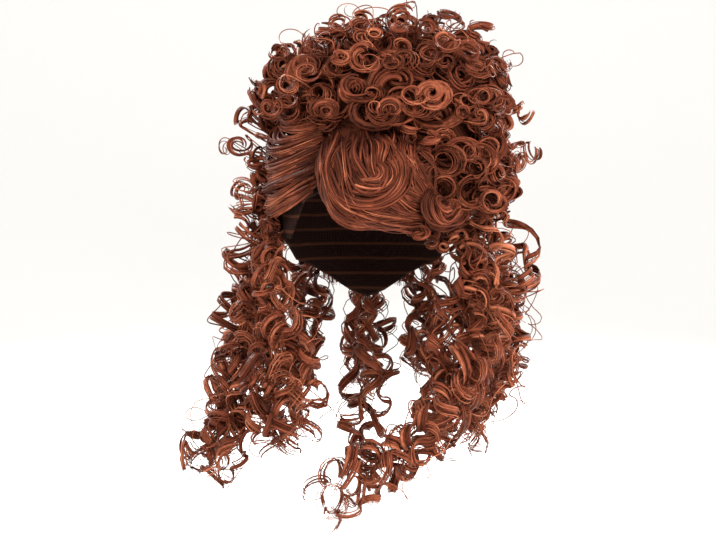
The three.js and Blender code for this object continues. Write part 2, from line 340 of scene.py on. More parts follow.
@dataclass(frozen=True)
class StretchNet:
    """Knitted polyester wig net with sewn rows of weft: matt and dark, with lighter rows."""

    yarn: int = 0x2B1813
    hole: int = 0x140B09
    weft: int = 0x432619
    mesh_mm: float = 2.4  # real net is about 1 mm, drawn coarser so that it shows
    yarn_share: float = 0.22  # how far from a mesh's edge its hole is darkest
    uneven: float = 0.25
    weft_mm: float = 13.0
    weft_wander: float = 0.6
    weft_detail: float = 2.0
    crest: Span = (0.86, 0.97)  # the part of each row's band that is sewn
    relief: float = 0.4
    relief_mm: float = 0.6
    roughness: float = 0.95
    specular: float = 0.08

    def material(self) -> bpy.types.Material:
        """Makes the net's material.

        Returns:
            The material.
        """
        material, tree, shader, place = new_material("polyester_stretch_net")
        mesh = {"Vector": place, "Scale": 1 / (self.mesh_mm * MM), "Randomness": self.uneven}
        cells = add_node(tree, "ShaderNodeTexVoronoi", mesh, feature="DISTANCE_TO_EDGE")
        knit = add_node(tree, "ShaderNodeValToRGB", {"Fac": cells.outputs["Distance"]})
        yarn, hole = knit.color_ramp.elements
        yarn.color, hole.color = linear(self.yarn), linear(self.hole)
        hole.position = self.yarn_share
        rows = {"Vector": place, "Scale": band_scale(self.weft_mm)}
        rows |= {"Distortion": self.weft_wander, "Detail": self.weft_detail}
        bands = add_node(tree, "ShaderNodeTexWave", rows, bands_direction="Z").outputs["Fac"]
        span = {"Value": bands, "From Min": self.crest[0], "From Max": self.crest[1]}
        sewn = add_node(tree, "ShaderNodeMapRange", span).outputs["Result"]
        blend = {"Factor": sewn, 6: knit.outputs["Color"], 7: linear(self.weft)}
        mixed = add_node(tree, "ShaderNodeMix", blend, data_type="RGBA")
        relief = {"Height": sewn, "Strength": self.relief, "Distance": self.relief_mm * MM}
        bump = add_node(tree, "ShaderNodeBump", relief)
        surface = {
            "Base Color": mixed.outputs[2],
            "Normal": bump.outputs["Normal"],
            "Roughness": self.roughness,
            "Specular IOR Level": self.specular,
        }
        feed(tree, shader, surface)
        return material


@dataclass(frozen=True)
class StudioPaper:
    """Seamless background paper: matt and pale."""

    colour: int = 0xF4F2EF
    pulp_mm: float = 2.5  # fibres of the paper, drawn coarser so that they show
    relief: float = 0.03
    relief_mm: float = 0.2
    roughness: float = 0.9

    def material(self) -> bpy.types.Material:
        """Makes the paper's material.

        Returns:
            The material.
        """
        material, tree, shader, place = new_material("seamless_paper_white")
        grain = {"Vector": place, "Scale": 1 / (self.pulp_mm * MM)}
        pulp = add_node(tree, "ShaderNodeTexNoise", grain).outputs["Fac"]
        relief = {"Height": pulp, "Strength": self.relief, "Distance": self.relief_mm * MM}
        bump = add_node(tree, "ShaderNodeBump", relief)
        surface = {
            "Base Color": linear(self.colour),
            "Normal": bump.outputs["Normal"],
            "Roughness": self.roughness,
        }
        feed(tree, shader, surface)
        return material


@dataclass(frozen=True)
class HeadForm:
    """The rounded form that the cap fits, in millimetres below and round its crown."""

    half_width: float = 75.0
    half_length: float = 96.0
    half_height: float = 88.0
    fullness: float = 2.3

    def point(self, azimuth: np.ndarray, depth: np.ndarray, lift: np.ndarray) -> np.ndarray:
        """Gives points over the form.

        Args:
            azimuth: Degrees from the front towards +X.
            depth: Millimetres below the crown.
            lift: Millimetres off the form.

        Returns:
            Points, with x, y and z in the last axis.
        """
        azimuth, depth, lift = np.broadcast_arrays(azimuth, depth, lift)
        level = 1 - depth / self.half_height
        reach = (1 - np.minimum(np.abs(level), 1) ** self.fullness) ** (1 / self.fullness)
        angle = np.radians(azimuth)
        return np.stack(
            [
                (self.half_width + lift) * reach * np.sin(angle),
                -(self.half_length + lift) * reach * np.cos(angle),
                (self.half_height + lift) * level - self.half_height,
            ],
            axis=-1,
        )

    def off(self, points: np.ndarray) -> np.ndarray:
        """Gives the directions straight off the form at points near it."""
        squares = np.array([self.half_width**2, self.half_length**2, self.half_height**2])
        return unit((points + np.array([0, 0, self.half_height])) / squares)

    def front(self, across: np.ndarray, height: np.ndarray, lift: np.ndarray) -> np.ndarray:
        """Gives points on the front of the lifted form.

        Args:
            across: Each point's x.
            height: Each point's z.
            lift: Millimetres off the form.

        Returns:
            Points, with x, y and z in the last axis.
        """
        across, height, lift = np.broadcast_arrays(across, height, lift)
        level = (height + self.half_height) / (self.half_height + lift)
        reach = (1 - np.minimum(np.abs(level), 1) ** self.fullness) ** (1 / self.fullness)
        room = np.maximum(reach**2 - (across / (self.half_width + lift)) ** 2, 0)
        return np.stack([across, -(self.half_length + lift) * np.sqrt(room), height], axis=-1)

    def clear(self, points: np.ndarray, lift: float) -> np.ndarray:
        """Moves points that lie inside the lifted form straight out from its middle onto it.

        Args:
            points: Points, with x, y and z in the last axis.
            lift: Millimetres off the form.

        Returns:
            The points, each on the lifted form or outside it.
        """
        middle = np.array([0, 0, -self.half_height])
        halves = np.array([self.half_width, self.half_length, self.half_height])
        shape = (points - middle) / (halves + lift)
        round_it, up = np.hypot(shape[..., 0], shape[..., 1]), np.abs(shape[..., 2])
        reach = (round_it**self.fullness + up**self.fullness) ** (1 / self.fullness)
        return middle + (points - middle) / np.clip(reach, TINY, 1)[..., None]


HEAD = HeadForm()


@dataclass(frozen=True)
class Pad:
    """A rounded pad of teased hair that curls are pinned to."""

    centre: Point
    radii: Point
    fullness: float
    probe: float = 10.0  # how far out the direction off the pad is measured

    def point(self, azimuth: float, elevation: float, lift: float) -> np.ndarray:
        """Gives a point over the pad.

        Args:
            azimuth: Degrees from the front towards +X.
            elevation: Degrees above the pad's middle.
            lift: Millimetres off the pad.

        Returns:
            The point.
        """
        turn, rise = math.radians(azimuth), math.radians(elevation)
        power = 2 / self.fullness
        out = abs(math.cos(rise)) ** power
        up = math.copysign(abs(math.sin(rise)) ** power, math.sin(rise))
        shape = np.array([out * math.sin(turn), -out * math.cos(turn), up])
        return shape * (np.array(self.radii) + lift) + np.array(self.centre)

    def seat(self, azimuth: float, elevation: float) -> tuple[np.ndarray, np.ndarray]:
        """Gives where a curl is pinned to the pad.

        Args:
            azimuth: Degrees from the front towards +X.
            elevation: Degrees above the pad's middle.

        Returns:
            The place, and the direction straight off the pad there.
        """
        off = self.point(azimuth, elevation, self.probe) - self.point(azimuth, elevation, 0)
        return self.point(azimuth, elevation, PIN_DEPTH), unit(off)


UPDO_PAD = Pad(centre=(19, 8, -10), radii=(90, 76, 75), fullness=2.7)
TEMPLE_PAD = Pad(centre=(68, -22, -54), radii=(46, 54, 32), fullness=2.0)


def in_scene(mesh: bpy.types.Mesh, name: str) -> bpy.types.Object:
    """Puts a mesh in the scene, shaded smooth.

    Args:
        mesh: The mesh.
        name: The object's name.

    Returns:
        The new object.
    """
    mesh.polygons.foreach_set("use_smooth", np.ones(len(mesh.polygons), dtype=bool))
    piece = bpy.data.objects.new(name, mesh)
    bpy.context.scene.collection.objects.link(piece)
    return piece


def finished(work: bmesh.types.BMesh, name: str) -> bpy.types.Object:
    """Turns a worked form into a smooth object in the scene.

    Args:
        work: The form, which is freed.
        name: The object's name.

    Returns:
        The new object.
    """
    mesh = bpy.data.meshes.new(name)
    work.to_mesh(mesh)
    work.free()
    return in_scene(mesh, name)


def wear(
    piece: bpy.types.Object, material: bpy.types.Material, *nodes: str, slot: str = HAIR_SLOT
) -> None:
    """Gives a piece its finish and puts it in the place of CAD nodes.

    Args:
        piece: The piece, in the scene.
        material: Its material.
        *nodes: The CAD nodes that it stands in for.
        slot: Not used.
    """
    piece.data.materials.clear()
    piece.data.materials.append(material)
    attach(piece, BODY)
    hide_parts(*nodes)


@dataclass
class StrandSet:
    """Flat three-sided strands of one piece, gathered as arrays and joined into one mesh."""

    paths: list[np.ndarray] = field(default_factory=list)
    wides: list[np.ndarray] = field(default_factory=list)
    halves: list[np.ndarray] = field(default_factory=list)
    tones: list[np.ndarray] = field(default_factory=list)
    root_width: float = 0.5  # share of its width that a strand starts with
    root_share: float = 0.12  # and share of its length that it widens in
    tip_loss: float = 0.6  # share of its width that it loses at the tip
    tip_share: float = 0.82  # and share of its length after which it narrows
    thickest: float = 0.45  # how far a broad strand's ridge and edges stand off its middle
    thickness: float = 0.7  # and a fine one's, as a share of half its width
    corners: Point = (0.5, 0.0, 1.0)  # where the ridge and the edges lie across a strand
    apart: float = 31.7  # millimetres between strands in the pattern, so that no two look alike
    margin: float = 0.2  # share of a strand's row in the unwrapping that stays free on each side

    def add(
        self, paths: np.ndarray, wide: np.ndarray, half: np.ndarray, tones: np.ndarray
    ) -> None:
        """Adds strands that have the same number of points.

        Args:
            paths: Strands by points by x, y and z, in millimetres.
            wide: The direction that they are wide in, in a shape that spreads over the paths.
            half: Half of each strand's width.
            tones: How light each strand is, from 0 to 1.
        """
        self.paths.append(HEAD.clear(paths, OFF_CAP))
        self.wides.append(np.broadcast_to(wide, paths.shape))
        self.halves.append(half)
        self.tones.append(tones)

    def ring(self, paths: np.ndarray, wide: np.ndarray, half: np.ndarray) -> np.ndarray:
        """Gives the three corners of every strand at each of its points.

        Args:
            paths: Strands by points by x, y and z.
            wide: The direction that they are wide in.
            half: Half of each strand's width.

        Returns:
            Strands by points by corners by x, y and z.
        """
        share = np.linspace(0, 1, paths.shape[1])
        root = self.root_width + (1 - self.root_width) * ease(share, 0, self.root_share)
        taper = (root * (1 - self.tip_loss * ease(share, self.tip_share, 1)))[None, :, None]
        tangent = unit(np.gradient(paths, axis=1))
        flat = unit(wide - np.sum(wide * tangent, axis=-1, keepdims=True) * tangent)
        thick = np.cross(tangent, flat)
        reach = half[:, None, None] * taper
        depth = np.minimum(self.thickest, self.thickness * half)[:, None, None] * taper
        sides = [thick * depth, -flat * reach - thick * depth, flat * reach - thick * depth]
        return paths[:, :, None] + np.stack(sides, axis=2)

    @staticmethod
    def skin(index: np.ndarray) -> list[np.ndarray]:
        """Gives the triangles round strands and over both of their ends.

        Args:
            index: Each corner's number, as strands by points by corners.

        Returns:
            Arrays of triangles that face outwards.
        """
        here, ahead = index[:, :-1], index[:, 1:]
        beside, across = np.roll(here, -1, axis=2), np.roll(ahead, -1, axis=2)
        return [
            np.stack([here, beside, across], axis=-1).reshape(-1, 3),
            np.stack([here, across, ahead], axis=-1).reshape(-1, 3),
            index[:, 0, ::-1],
            index[:, -1],
        ]

    def build(self, name: str) -> bpy.types.Object:
        """Joins the strands into one mesh with its tones and its own unwrapping.

        Args:
            name: The piece's name.

        Returns:
            The new object, in the scene.
        """
        points, faces, tones, roots, fibres, maps = [], [], [], [], [], []
        start, row, rows = 0, 0, sum(len(paths) for paths in self.paths)
        corners = np.array(self.corners)
        for paths, wide, half, tone in zip(self.paths, self.wides, self.halves, self.tones):
            strands, count, _ = paths.shape
            index = start + np.arange(strands * count * 3).reshape(strands, count, 3)
            points.append(self.ring(paths, wide, half).reshape(-1, 3))
            faces.extend(self.skin(index))
            number = row + np.arange(strands)[:, None, None]
            share = np.linspace(0, 1, count)[None, :, None]
            steps = np.linalg.norm(np.diff(paths, axis=1), axis=2)
            run = np.concatenate([np.zeros((strands, 1)), np.cumsum(steps, axis=1)], axis=1)
            over = 2 * half[:, None, None] * corners + self.apart * number
            line = (number + self.margin + (1 - 2 * self.margin) * corners) / rows
            values = (tone[:, None, None], run[:, :, None], over, share, line)
            tone, run, over, share, line = (np.broadcast_to(v, index.shape) for v in values)
            tones.append(tone.ravel())
            roots.append(run.ravel())
            fibres.append(np.stack([over, run, 0 * run], axis=-1).reshape(-1, 3))
            maps.append(np.stack([share, line], axis=-1).reshape(-1, 2))
            start += index.size
            row += strands
        mesh = bpy.data.meshes.new(name)
        triangles = np.vstack(faces)
        mesh.from_pydata(np.vstack(points) * MM, [], triangles)
        for label, values in (("tone", tones), ("from_root", roots)):
            attribute = mesh.attributes.new(label, "FLOAT", "POINT")
            attribute.data.foreach_set("value", np.concatenate(values).astype(np.float32))
        attribute = mesh.attributes.new("fibre", "FLOAT_VECTOR", "POINT")
        attribute.data.foreach_set("vector", np.vstack(fibres).astype(np.float32).ravel())
        unwrapped = np.vstack(maps)[triangles.ravel()]
        layer = mesh.uv_layers.new(name="OFBake")
        layer.uv.foreach_set("vector", unwrapped.astype(np.float32).ravel())
        mesh.update()
        return in_scene(mesh, name)


@dataclass(frozen=True)
class LockLook:
    """How the strands of one lock differ: ribbons of fibres that fill it, under finer strands."""

    ribbons: float  # share of the strands
    ribbon_half: Span
    fine_half: Span
    tones: Span = (0.26, 0.68)
    uneven: float = 0.15  # how much tones differ within a lock
    ribbon_shade: float = 0.08  # and how much darker its ribbons are

    def pick(self, rng: np.random.Generator, strands: int) -> tuple[np.ndarray, np.ndarray]:
        """Picks half the width and the tone of each strand of one lock.

        Args:
            rng: The seeded random source.
            strands: How many strands the lock has.

        Returns:
            Half widths, and tones from 0 to 1.
        """
        ribbon = rng.random(strands) < self.ribbons
        broad, fine = rng.uniform(*self.ribbon_half, strands), rng.uniform(*self.fine_half, strands)
        tone = rng.uniform(*self.tones) + rng.normal(0, self.uneven, strands)
        return np.where(ribbon, broad, fine), np.clip(tone - self.ribbon_shade * ribbon, 0, 1)


CURL_LOCK = LockLook(0.5, ribbon_half=(1.3, 2.8), fine_half=(0.3, 0.6), tones=(0.28, 0.58))
# The hair under the updo's curls gets darker tones, as painted shade
UNDER_LOCK = LockLook(0.8, ribbon_half=(2.0, 3.6), fine_half=(0.4, 0.7), tones=(0.12, 0.42))
COMBED_LOCK = LockLook(0.35, ribbon_half=(0.9, 1.8), fine_half=(0.28, 0.6), tones=(0.16, 0.74))
FRINGE_LOCK = LockLook(0.35, ribbon_half=(0.9, 1.8), fine_half=(0.28, 0.6), tones=(0.05, 0.6))
RINGLET_LOCK = LockLook(0.45, ribbon_half=(1.0, 2.1), fine_half=(0.3, 0.6), tones=(0.3, 0.72))
LOOSE_LOCK = LockLook(0.5, ribbon_half=(0.9, 2.1), fine_half=(0.35, 0.6))
STRAY_LOCK = LockLook(0.0, ribbon_half=(0.8, 1.4), fine_half=(0.4, 0.6))


@dataclass
class HairPiece:
    """One CAD node of hair, dressed as strands, over a core painted dark as shade where the hair is
    thick.
    """

    node: str

    def lay(self, strands: StrandSet, rng: np.random.Generator) -> None:
        """Lays the piece's strands; each kind of hair lays its own."""
        raise NotImplementedError

    def core(self) -> bpy.types.Object | None:
        """Makes the hair under the strands, painted dark as shade, where there is any."""
        return None

    def dress(self, finish: dict[Depth, bpy.types.Material], rng: np.random.Generator) -> int:
        """Builds the core and the strands and puts them in the node's place.

        Args:
            finish: The fibre's material for strands and for the core.
            rng: The seeded random source.

        Returns:
            How many faces the piece has.
        """
        strands = StrandSet()
        self.lay(strands, rng)
        made = {Depth.STRAND: strands.build(f"{self.node}_strands"), Depth.CORE: self.core()}
        for depth, piece in made.items():
            if piece:
                wear(piece, finish[depth], self.node)
        return sum(len(piece.data.polygons) for piece in made.values() if piece)


@dataclass(frozen=True)
class TeasedCore:
    """Teased hair inside a bunch of curls, painted dark as shade: a closed form over a pad, hollow
    for the cap.
    """

    name: str
    pad: Pad
    rim: float  # elevation, in degrees, below which the form turns in under itself
    inset: float = 5.0
    segments: int = 48

    def place(self, direction: Vector) -> np.ndarray:
        """Gives where a point of a unit ball goes on the form.

        Args:
            direction: The point of the ball.

        Returns:
            The point, in millimetres.
        """
        azimuth = math.degrees(math.atan2(direction.x, -direction.y))
        elevation = math.degrees(math.asin(max(-1, min(1, direction.z))))
        point = self.pad.point(azimuth, max(elevation, self.rim), -self.inset)
        if elevation < self.rim:
            inward = (elevation + 90) / (self.rim + 90)
            middle = np.array([self.pad.centre[0], self.pad.centre[1], point[2]])
            point = middle + (point - middle) * inward
        return HEAD.clear(point, OFF_CAP)

    def build(self) -> bpy.types.Object:
        """Makes the form from a ball.

        Returns:
            The new object, in the scene.
        """
        work, rings = bmesh.new(), self.segments // 2
        bmesh.ops.create_uvsphere(work, u_segments=self.segments, v_segments=rings, radius=1.0)
        for vertex in work.verts:
            vertex.co = Vector(self.place(vertex.co)) * MM
        return finished(work, self.name)


@dataclass(frozen=True)
class CurlMaker:
    """Winds a lock into a curl that stands off its seat."""

    strands: int = 9
    points: int = 21
    forward: float = 0.7  # how far curls turn to face the front or the back
    lean: Span = (0.2, 1.0)  # and the share of that which one takes
    settle: float = 0.5  # how much less it points straight off for that
    side_on: float = 0.1  # a curl that stands off to front or back by less faces the front
    loose: float = 0.35  # how far axes stray
    turns: Span = (0.65, 1.5)
    outer: Span = (0.78, 1.08)  # shares of the radius that the strands start at
    inner: Span = (0.15, 0.7)  # and wind in to
    closing: Span = (0.9, 1.6)  # powers of the length, which close a curl early or late
    squash: Span = (0.6, 1.0)  # a curl's height for its width
    dish: Span = (0.2, 1.1)  # how far ribbons lean from standing on edge to lying flat
    barrel: float = 0.6  # radii that the strands spread over along the axis
    drawn: Span = (0.2, 1.2)  # radii that a curl is drawn out along it
    below: float = 0.4  # and the share of its length that this pushes inwards
    ahead: float = 0.06  # how far strands run ahead of each other, as a share of the length
    spread: float = 2.0  # how far apart they start
    rise: float = 0.2  # share of the length in which they come up from the seat
    # How the radius wavers: how much, how fast with the angle, and how much strands differ in it
    wavers: tuple[Point, ...] = ((0.14, 0.5, 6.0), (0.1, 1.7, 9.0))
    look: LockLook = CURL_LOCK

    def lay(
        self,
        out: StrandSet,
        rng: np.random.Generator,
        seat: np.ndarray,
        off: np.ndarray,
        radii: Span,
        lifts: Span,
    ) -> None:
        """Lays one curl.

        Args:
            out: The strands to add to.
            rng: The seeded random source.
            seat: Where the curl starts.
            off: The direction that it stands off in.
            radii: The smallest and the largest that its radius may be.
            lifts: The least and the most that its middle may stand off.
        """
        radius, lift = rng.uniform(*radii), rng.uniform(*lifts)
        faces = math.copysign(1, off[1]) if abs(off[1]) > self.side_on else -1
        lean = rng.uniform(*self.lean) * self.forward
        stray = rng.normal(0, self.loose, 3)
        axis = unit(off * (1 - self.settle * lean) + np.array([0, faces, 0]) * lean + stray)
        side = unit(np.cross([0, 0, 1.0], axis))
        top = np.cross(axis, side)
        share = np.linspace(0, 1, self.points)[None, :, None]
        each = (self.strands, 1, 1)
        layer = rng.uniform(-0.5, 0.5, each)
        outer = radius * rng.uniform(*self.outer, each)
        inner = radius * rng.uniform(*self.inner, each)
        turn = TURN * rng.uniform(*self.turns) * rng.choice(list(Winding)).value
        angle = rng.uniform(0, TURN) + turn * (share + rng.normal(0, self.ahead, each))
        wound = outer + (inner - outer) * share ** rng.uniform(*self.closing)
        waver = 1.0
        for deep, fast, differ in self.wavers:
            waver = waver + deep * np.sin(angle * fast + layer * differ)
        squash = rng.uniform(*self.squash)
        barrel = radius * (self.barrel * layer + rng.uniform(*self.drawn) * (share - self.below))
        bend = np.cos(angle) * side + squash * np.sin(angle) * top
        coil = seat + off * lift + axis * barrel + wound * waver * bend
        start = seat + rng.normal(0, self.spread, (self.strands, 1, 3))
        paths = start + (coil - start) * ease(share, 0, self.rise)
        wide = axis + rng.uniform(*self.dish) * bend
        out.add(paths, wide, *self.look.pick(rng, self.strands))


# The updo's teased hair, pinned curls, rosettes, loops and single stray strands
TEASED = CurlMaker(
    strands=6, points=16, forward=0.0, loose=0.1,
    turns=(0.7, 1.3), inner=(0.05, 0.8), dish=(2.5, 4.0), look=UNDER_LOCK,
)
PINNED = CurlMaker()
ROSETTE = CurlMaker(
    strands=13, points=26, forward=0.3, loose=0.15,
    turns=(1.5, 2.2), inner=(0.04, 0.4), dish=(0.6, 1.3),
)
LOOP = CurlMaker(strands=5, forward=0.9, loose=0.25, look=LOOSE_LOCK)
FLYAWAY = CurlMaker(strands=1, points=33, forward=0.9, loose=0.25, look=STRAY_LOCK)
# The left temple's curls, those round them and their stray strands
BUNCHED = CurlMaker(forward=0.6)
LOOSENED = CurlMaker(strands=6, loose=0.5)
WISP = CurlMaker(strands=2, points=33, forward=0.9, look=STRAY_LOCK)
# The right temple's curls and loops, and the fringe's end curls
SPRUNG = CurlMaker(strands=5, loose=0.5)
SLIM_LOOP = CurlMaker(strands=3, points=28, forward=0.9, loose=0.4, look=LOOSE_LOCK)
END_CURL = CurlMaker(loose=0.5)


@dataclass(frozen=True)
class HeadCurls:
    """Curls at random seats on the cap's form, each value picked from its span."""

    maker: CurlMaker
    count: int
    azimuth: Span
    depth: Span
    radius: Span
    lift: Span
    off_head: float = 6.0

    def lay(self, out: StrandSet, rng: np.random.Generator) -> None:
        """Lays the curls.

        Args:
            out: The strands to add to.
            rng: The seeded random source.
        """
        for _ in range(self.count):
            azimuth, depth = rng.uniform(*self.azimuth), rng.uniform(*self.depth)
            seat = HEAD.point(azimuth, depth, self.off_head)
            self.maker.lay(out, rng, seat, HEAD.off(seat), self.radius, self.lift)


@dataclass
class Ringlet(HairPiece):
    """A hanging ringlet: corkscrew locks that tumble round one path from the cap to a tip."""

    azimuth: float = 0.0
    depth: float = 0.0
    knee: Point = (0, 0, 0)
    tip: Point = (0, 0, 0)
    locks: int = 5
    per_lock: int = 8
    strays: int = 3
    off_head: float = 2.0
    bow: float = 12.0
    fineness: int = 400  # points that the path is worked out at
    per_turn: int = 11  # points in each turn of a lock
    pitch: Span = (16.0, 26.0)
    hurry: float = 1.8  # radians by which a lock runs ahead of an even pace and behind it
    hurries: Span = (1.2, 2.6)  # and how often along it
    root_share: float = 0.14  # share of its length in which a ringlet opens out at the cap
    slim: float = 0.6  # how wide it is below the cap, as a share of its width further down
    filling: Span = (0.1, 0.6)  # and where along it that changes
    apart: float = 14.0  # how far locks hang off the path
    hang: Span = (0.4, 1.2)  # and the share of that which one takes
    twist: float = 1.4  # radians by which locks go round each other on the way down
    wander: float = 9.0
    wanders: Span = (1.2, 3.0)
    tumble: float = 0.9  # how far a coil tilts off the path
    tumbles: Span = (2.0, 5.0)  # how often along it coils tilt, swell and shrink
    coil: float = 9.0  # a coil's radius
    coils: Span = (0.75, 1.15)  # how it differs between locks
    fan: Span = (0.8, 1.12)  # and between the strands of a lock
    swell: float = 0.35
    tip_loss: float = 0.25  # share of its radius that a coil loses towards the tip
    tip_share: float = 0.75
    slide: float = 0.45  # share of the pitch over which a lock's strands spread
    ahead: float = 0.16  # radians by which strands run ahead of each other
    stray_size: float = 1.35

    def path(self, count: int) -> np.ndarray:
        """Gives the path from the cap over a bow and a knee to the tip.

        Args:
            count: How many points to give.

        Returns:
            The path's points, as rows.
        """
        root = HEAD.point(self.azimuth, self.depth, self.off_head)
        away = HEAD.off(root) * np.array([1, 1, 0])
        bow = root + unit(away) * self.bow - np.array([0, 0, self.bow])
        return smooth_path(np.array([root, bow, self.knee, self.tip]), count)

    def lay(self, strands: StrandSet, rng: np.random.Generator) -> None:
        """Lays the corkscrew locks and then the stray strands that stand out of them.

        Args:
            strands: The strands to add to.
            rng: The seeded random source.
        """
        for lock in range(self.locks):
            about = 360 * lock / self.locks
            self.wind(strands, rng, about, self.per_lock, 1.0, RINGLET_LOCK)
        for _ in range(self.strays):
            self.wind(strands, rng, rng.uniform(0, 360), 1, self.stray_size, STRAY_LOCK)

    def wind(
        self,
        out: StrandSet,
        rng: np.random.Generator,
        about: float,
        strands: int,
        size: float,
        look: LockLook,
    ) -> None:
        """Winds one lock round the path.

        Args:
            out: The strands to add to.
            rng: The seeded random source.
            about: Which side of the path the lock hangs on, in degrees.
            strands: How many strands it has.
            size: How much longer than usual its coils are, and how much further out it hangs.
            look: How its strands differ.
        """
        fine = np.linspace(0, 1, self.fineness)
        whole = self.path(len(fine))
        length = np.linalg.norm(np.diff(whole, axis=0), axis=1).sum()
        pitch = size * rng.uniform(*self.pitch)
        turns = length / pitch
        # The lock hurries and slows as it winds, and its points are even in angle
        pace = TURN * turns * fine + self.hurry * wave(rng, fine, *self.hurries)
        angle = np.linspace(pace[0], pace[-1], int(turns * self.per_turn) + 2)
        share = np.interp(angle, pace, fine)
        line = along(share, fine, whole)
        tangent = unit(np.gradient(line, axis=0))
        side = unit(np.cross([0, 1.0, 0], tangent))
        top = np.cross(tangent, side)
        width = self.slim + (1 - self.slim) * ease(share, *self.filling)
        open_out = ease(share, 0, self.root_share) * width
        hang = math.radians(about) + self.twist * share
        off = size * self.apart * rng.uniform(*self.hang) * open_out
        drift = self.wander * open_out * wave(rng, share, *self.wanders)
        sideways, upwards = off * np.cos(hang) + drift, off * np.sin(hang)
        line = line + sideways[:, None] * side + upwards[:, None] * top
        tilt = wave(rng, share, *self.tumbles)[:, None] * side
        tilt = tilt + wave(rng, share, *self.tumbles)[:, None] * top
        axis = unit(tangent + self.tumble * tilt)
        right = unit(np.cross([0, 1.0, 0], axis))
        over = np.cross(axis, right)
        angle = rng.uniform(0, TURN) + rng.choice(list(Winding)).value * angle
        swell = 1 + self.swell * wave(rng, share, *self.tumbles)
        swell = swell * (1 - self.tip_loss * ease(share, self.tip_share, 1))
        coil = (self.coil * rng.uniform(*self.coils) * open_out * swell)[None, :, None]
        each = (strands, 1, 1)
        shift = rng.uniform(-0.5, 0.5, each) * self.slide * pitch * open_out[None, :, None]
        turn = angle[None, :, None] + rng.normal(0, self.ahead, each)
        bend = np.cos(turn) * right[None] + np.sin(turn) * over[None]
        paths = line[None] + axis[None] * shift + coil * rng.uniform(*self.fan, each) * bend
        out.add(paths, axis[None], *look.pick(rng, strands))


@dataclass(frozen=True)
class Springs:
    """Loose springs that hang out of a bunch of curls, wound as slim ringlets."""

    locks: int
    strays: int
    places: tuple[tuple[float, float, Point, Point], ...]  # azimuth and depth of seat, knee, tip
    per_lock: int = 5
    per_turn: int = 14
    tumble: float = 0.3

    def lay(self, node: str, out: StrandSet, rng: np.random.Generator) -> None:
        """Lays the springs.

        Args:
            node: The CAD node that they belong to.
            out: The strands to add to.
            rng: The seeded random source.
        """
        for place in self.places:
            spring = Ringlet(
                node, *place, locks=self.locks, per_lock=self.per_lock, strays=self.strays,
                per_turn=self.per_turn, tumble=self.tumble,
            )
            spring.lay(out, rng)


@dataclass
class UpdoRow(HairPiece):
    """One row of the updo: curls pinned round the dome, with looser loops standing out of it."""

    low: float = 0.0
    high: float = 0.0
    curls: int = 0
    rings: int = 2
    radius: Span = (8.5, 17.0)
    lift: Span = (3.0, 24.0)
    astray: Span = (7.0, 5.0)  # degrees by which curls stray in azimuth and in elevation
    teased: int = 0
    teased_radius: Span = (18.0, 27.0)
    teased_lift: Span = (1.0, 4.0)
    teased_levels: int = 3
    teased_step: float = 11.0  # degrees from one level to the next
    # Extra curls: how many, first and last azimuth, lowest and highest elevation, and lift
    extras: tuple[tuple[int, Span, Span, Span], ...] = ()
    rosettes: int = 0
    rosette_level: float = 0.0  # degrees above the dome's middle
    rosette_radius: Span = (13.0, 17.5)
    rosette_lift: Span = (9.0, 15.0)
    rosette_astray: float = 3.0
    loops: int = 0
    loop_radius: Span = (8.0, 15.0)
    loop_lift: Span = (22.0, 36.0)
    strays: int = 0
    stray_lift: Span = (24.0, 38.0)
    face: Span = (-104.0, 36.0)  # azimuths over the temple sweep and the fringe
    face_low: float = 5.0  # and the lowest that a curl is pinned there

    def lay(self, strands: StrandSet, rng: np.random.Generator) -> None:
        """Lays the row's teased hair, curls, extra curls, rosettes, loops and stray strands.

        Args:
            strands: The strands to add to.
            rng: The seeded random source.
        """
        for i in range(self.teased):
            azimuth = 360 * (i + rng.uniform(0, 0.5)) / self.teased
            level = self.low + self.teased_step * (i % self.teased_levels)
            place = (azimuth, level)
            self.pin(TEASED, strands, rng, place, self.teased_radius, self.teased_lift)
        for ring in range(self.rings):
            level = self.low + (self.high - self.low) * (ring + 0.5) / self.rings
            count = max(1, round(self.curls / self.rings))
            for i in range(count):
                azimuth = 360 * (i + 0.5 * (ring % 2)) / count + rng.normal(0, self.astray[0])
                place = (azimuth, level + rng.normal(0, self.astray[1]))
                self.pin(PINNED, strands, rng, place, self.radius, self.lift)
        for count, (first, last), levels, lift in self.extras:
            for i in range(count):
                place = (first + (last - first) * (i + 0.5) / count, rng.uniform(*levels))
                self.pin(PINNED, strands, rng, place, self.radius, lift)
        for i in range(self.rosettes):
            azimuth = 360 * i / self.rosettes + rng.normal(0, self.rosette_astray)
            place = (azimuth, self.rosette_level + rng.normal(0, self.rosette_astray))
            self.pin(ROSETTE, strands, rng, place, self.rosette_radius, self.rosette_lift)
        loose = ((LOOP, self.loops, self.loop_lift), (FLYAWAY, self.strays, self.stray_lift))
        for maker, count, lift in loose:
            for _ in range(count):
                place = (rng.uniform(0, 360), rng.uniform(self.low, self.high))
                self.pin(maker, strands, rng, place, self.loop_radius, lift)

    def pin(
        self,
        maker: CurlMaker,
        strands: StrandSet,
        rng: np.random.Generator,
        place: Span,
        radii: Span,
        lifts: Span,
    ) -> None:
        """Pins one curl to the dome.

        Args:
            maker: What winds the curl.
            strands: The strands to add to.
            rng: The seeded random source.
            place: Azimuth and elevation, in degrees.
            radii: The smallest and the largest that the curl's radius may be.
            lifts: The least and the most that its middle may stand off.
        """
        azimuth, elevation = place
        if self.face[0] < (azimuth + 180) % 360 - 180 < self.face[1]:
            elevation = max(elevation, self.face_low)
        seat, off = UPDO_PAD.seat(azimuth, elevation)
        maker.lay(strands, rng, HEAD.clear(seat, OFF_CAP), off, radii, lifts)


